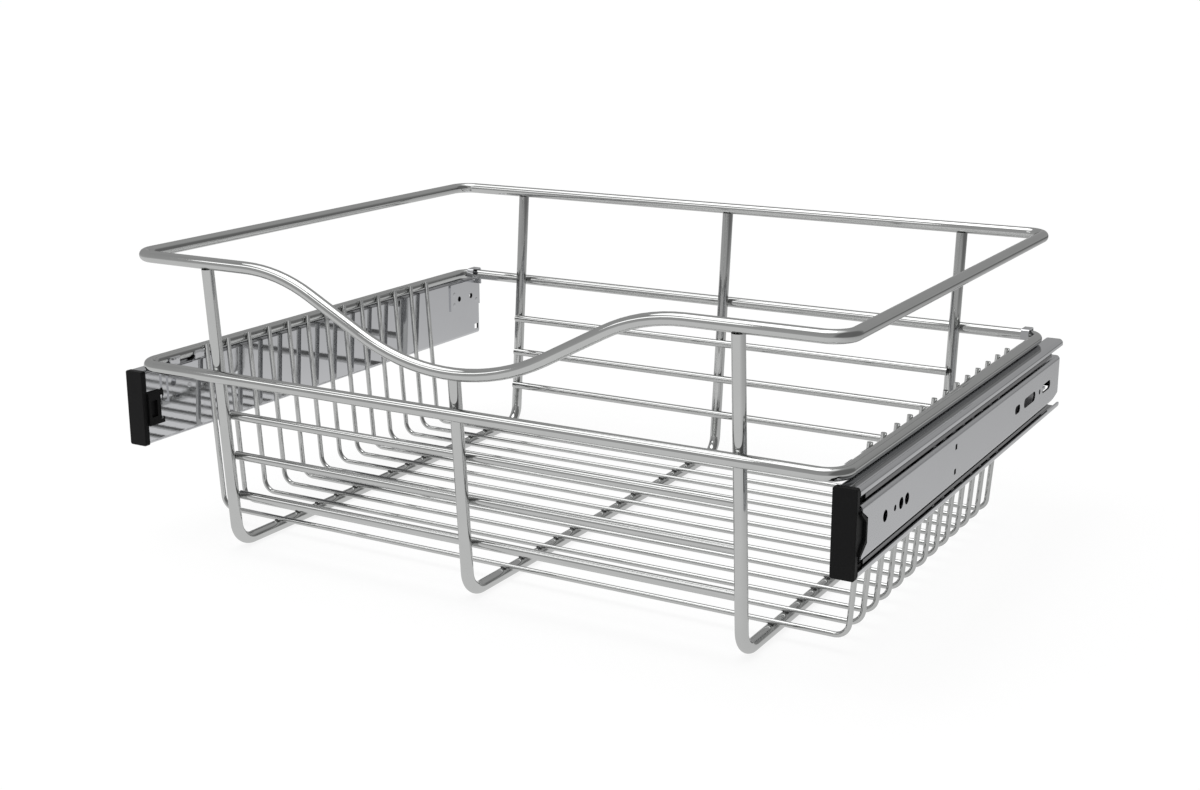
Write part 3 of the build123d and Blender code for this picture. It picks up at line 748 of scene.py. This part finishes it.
def paper_floor(colour, shadow):
    """White paper: it shows pale to the eye and, as painted light, in the metal, and keeps a soft shadow.
    """
    material = bpy.data.materials.new("paper_floor")
    material.use_nodes = True
    tree = material.node_tree
    tree.nodes.clear()
    link = tree.links.new
    out = place(tree, "ShaderNodeOutputMaterial", (4, 0))
    paper = place(tree, "ShaderNodeBsdfDiffuse", (0, 0))
    paper.inputs["Color"].default_value = (*colour, 1)
    shade = place(tree, "ShaderNodeBsdfDiffuse", (0, 1))
    shade.inputs["Color"].default_value = (*[OPEN_PAPER * shadow] * 3, 1)
    glow = place(tree, "ShaderNodeEmission", (0, 2))
    glow.inputs["Strength"].default_value = 1 - shadow
    pale = place(tree, "ShaderNodeAddShader", (1, 1))
    link(glow.outputs[0], pale.inputs[0])
    link(shade.outputs[0], pale.inputs[1])
    # Painted light: in the metal the paper is brightest under the basket and in front of it. It falls
    # off to the right and back, and with distance.
    where = place(tree, "ShaderNodeTexCoord", (-5, -3))
    aside = place(tree, "ShaderNodeVectorMath", (-4, -3), operation="DOT_PRODUCT")
    aside.inputs[1].default_value = PAPER_WAY
    link(where.outputs["Object"], aside.inputs[0])
    share = map_range(tree, aside.outputs["Value"], (-3, -3), PAPER_SPAN)
    across = tone_ramp(tree, PAINTED_PAPER_LIGHT, (-2, -3))
    link(share.outputs[0], across.inputs["Fac"])
    reach = place(tree, "ShaderNodeVectorMath", (-4, -5), operation="LENGTH")
    link(where.outputs["Object"], reach.inputs[0])
    fade = map_range(tree, reach.outputs["Value"], (-2, -5), FADE_SPAN, (1.0, FADE_TO), smooth=True)
    # Painted light of the paper, shown only in the metal.
    mirrored = place(tree, "ShaderNodeEmission", (0, -3))
    link(across.outputs["Color"], mirrored.inputs["Color"])
    link(fade.outputs[0], mirrored.inputs["Strength"])
    path = place(tree, "ShaderNodeLightPath", (0, -1))
    in_metal = place(tree, "ShaderNodeMath", (1, -1), operation="MAXIMUM")
    link(path.outputs["Is Glossy Ray"], in_metal.inputs[0])
    link(path.outputs["Is Transmission Ray"], in_metal.inputs[1])
    to_eye = place(tree, "ShaderNodeMixShader", (2, 1))
    link(path.outputs["Is Camera Ray"], to_eye.inputs["Fac"])
    link(paper.outputs[0], to_eye.inputs[1])
    link(pale.outputs[0], to_eye.inputs[2])
    last = place(tree, "ShaderNodeMixShader", (3, 0))
    link(in_metal.outputs[0], last.inputs["Fac"])
    link(to_eye.outputs[0], last.inputs[1])
    link(mirrored.outputs[0], last.inputs[2])
    link(last.outputs[0], out.inputs["Surface"])
    return material


# Tones of the studio against height, from straight down (0) to straight up (1), as shares of its
# brightest tone: dim walls all round and a bright ceiling.
BACK_TONES = ((0.0, 0.20), (0.5, 0.20), (0.6, 0.19), (0.80, 0.20), (0.90, 0.22), (0.935, 0.26),
              (0.96, 0.45), (1.0, 0.8))
FRONT_TONES = ((0.0, 0.21), (0.5, 0.22), (0.6, 0.21), (0.84, 0.20), (0.90, 0.15), (0.935, 0.20),
               (0.965, 0.45), (1.0, 0.8))
FRONT_SPAN = (0.3, -0.3)  # where the back's tones give way to the front's
DIM_SPAN = (0.35, 0.65)
DIM_SHARE = 0.45


def studio_world(strength):
    """Dim walls and a bright ceiling for the metal to mirror, and plain white behind the object."""
    world = bpy.data.worlds.new("studio")
    bpy.context.scene.world = world
    world.use_nodes = True
    tree = world.node_tree
    link = tree.links.new
    sky = tree.nodes["Background"]
    where = place(tree, "ShaderNodeTexCoord", (-5, 0))
    split = place(tree, "ShaderNodeSeparateXYZ", (-4, 0))
    link(where.outputs["Generated"], split.inputs[0])
    lift = map_range(tree, split.outputs["Z"], (-3, 0), (-1.0, 1.0))
    back = tone_ramp(tree, BACK_TONES, (-2, -1))
    front = tone_ramp(tree, FRONT_TONES, (-2, 1))
    for ramp in (back, front):
        link(lift.outputs[0], ramp.inputs["Fac"])
    facing = map_range(tree, split.outputs["Y"], (-3, 2), FRONT_SPAN, smooth=True)
    blend = place(tree, "ShaderNodeMix", (-1, 0), data_type="RGBA")
    link(facing.outputs[0], blend.inputs["Factor"])
    link(back.outputs["Color"], blend.inputs["A"])
    link(front.outputs["Color"], blend.inputs["B"])
    link(blend.outputs["Result"], sky.inputs["Color"])
    # The studio is darkest on the right.
    dim = map_range(tree, split.outputs["X"], (-2, 4), DIM_SPAN, (strength, DIM_SHARE * strength),
                    smooth=True)
    link(dim.outputs[0], sky.inputs["Strength"])
    plain = place(tree, "ShaderNodeBackground", (0, 2))
    plain.inputs["Color"].default_value = (1, 1, 1, 1)
    path = place(tree, "ShaderNodeLightPath", (0, 4))
    last = place(tree, "ShaderNodeMixShader", (2, 0))
    link(path.outputs["Is Camera Ray"], last.inputs["Fac"])
    link(sky.outputs[0], last.inputs[1])
    link(plain.outputs[0], last.inputs[2])
    link(last.outputs[0], tree.nodes["World Output"].inputs["Surface"])


class BASKET_OT_stage(bpy.types.Operator):
    """Set up the floor, the lamps and the camera"""

    bl_idname = "basket.stage"
    bl_label = "Studio"

    def execute(self, context):
        stage = context.scene.basket_stage
        mesh = bmesh.new()
        bmesh.ops.create_grid(mesh, x_segments=1, y_segments=1, size=FLOOR_REACH)
        data = bpy.data.meshes.new("floor")
        mesh.to_mesh(data)
        mesh.free()
        floor = bpy.data.objects.new("floor", data)
        context.scene.collection.objects.link(floor)
        floor.location.z = cad_box[0][2] - FLOOR_GAP
        data.materials.append(paper_floor(stage.floor_colour, stage.shadow))

        studio_world(stage.sky_strength)
        broad_sun(stage.sun_strength)
        strip_light(stage)

        camera = bpy.data.cameras.new("camera")
        camera.lens = stage.lens
        camera.sensor_width = SENSOR_WIDTH
        camera.clip_start, camera.clip_end = 0.01, 100
        eye = bpy.data.objects.new("camera", camera)
        context.scene.collection.objects.link(eye)
        eye.location = stage.camera_place
        eye.rotation_euler = (pi / 2 - stage.elevation, 0, stage.azimuth)
        context.scene.camera = eye
        context.scene.view_settings.view_transform = "Standard"
        return {"FINISHED"}


class BASKET_PT_panel(bpy.types.Panel):
    """Buttons for the basket's pieces"""

    bl_idname = "BASKET_PT_panel"
    bl_label = "Pull-out Basket"
    bl_space_type = "VIEW_3D"
    bl_region_type = "UI"
    bl_category = "Basket"

    def draw(self, context):
        layout = self.layout
        for group in ("basket_finish", "basket_detail", "basket_stage"):
            box = layout.box()
            settings = getattr(context.scene, group)
            for name in settings.__annotations__:
                box.prop(settings, name)
        for operator in OPERATORS:
            layout.operator(operator.bl_idname)


SETTINGS = {
    "basket_finish": BasketFinishSettings,
    "basket_detail": BasketDetailSettings,
    "basket_stage": BasketStageSettings,
}
OPERATORS = (
    BASKET_OT_finishes,
    BASKET_OT_floor_welds,
    BASKET_OT_rail_welds,
    BASKET_OT_bar_welds,
    BASKET_OT_spot_welds,
    BASKET_OT_stage,
)


def register():
    for name, group in SETTINGS.items():
        bpy.utils.register_class(group)
        setattr(bpy.types.Scene, name, PointerProperty(type=group))
    for cls in (*OPERATORS, BASKET_PT_panel):
        bpy.utils.register_class(cls)


def unregister():
    for cls in reversed((*OPERATORS, BASKET_PT_panel)):
        bpy.utils.unregister_class(cls)
    for name, group in SETTINGS.items():
        delattr(bpy.types.Scene, name)
        bpy.utils.unregister_class(group)


def main():
    """Builds the basket's looks in order."""
    register()
    for operator in OPERATORS:
        category, name = operator.bl_idname.split(".")
        getattr(getattr(bpy.ops, category), name)()


if __name__ == "__main__":
    main()
